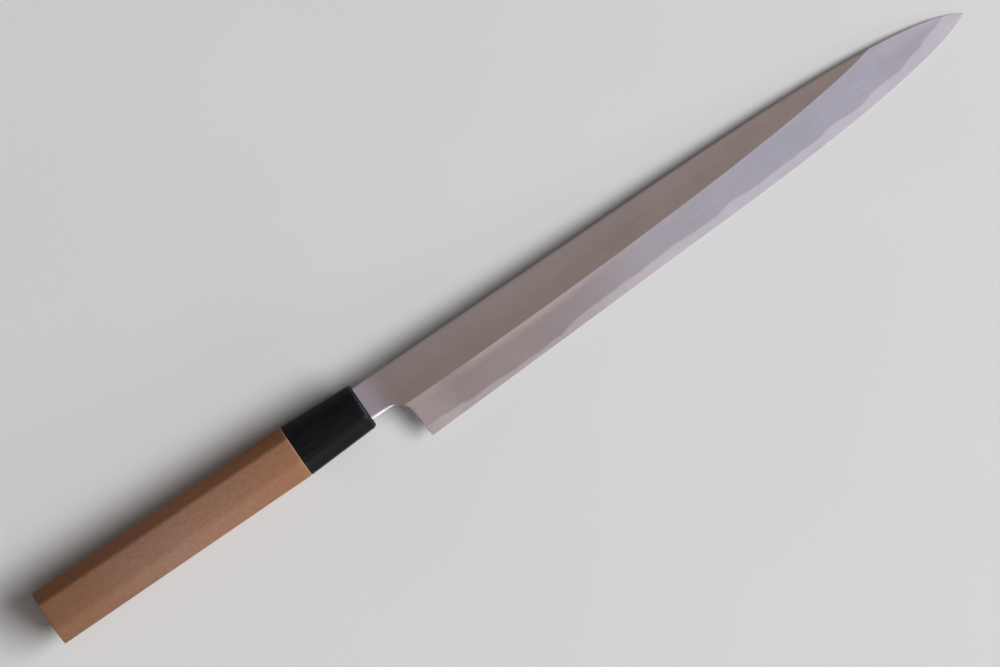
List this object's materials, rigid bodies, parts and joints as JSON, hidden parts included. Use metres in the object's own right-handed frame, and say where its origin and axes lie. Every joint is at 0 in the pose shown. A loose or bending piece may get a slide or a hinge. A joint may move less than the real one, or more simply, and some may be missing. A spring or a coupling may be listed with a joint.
{
  "type": "single-bevel slicing knife",
  "caption": "Long single-bevel slicing knife: iron blade with a hard steel back and edge, black horn ferrule, octagonal pale wood handle on a hidden tang.",
  "frame": {"origin": "centre of the handle's flat butt end, on the handle's axis", "axes": "+X along the handle's axis to the blade's tip, +Y to the spine, +Z out of the bevelled right face, which is up as the knife lies"},
  "size_m": [0.4217, 0.0364, 0.02],
  "materials": {
    "iron": "lengthwise satin polish on the flat, hazy stone finish on the bevel",
    "steel": "bright satin",
    "wood": "bare sanded, straight fine grain",
    "horn": "polished black horn",
    "resin": "set resin, hidden"
  },
  "bodies": {
    "root": {"blade_iron": "iron", "edge_steel": "steel", "wood_handle": "wood", "horn_ferrule": "horn", "tang_bedding": "resin"}
  },
  "joints": []
}
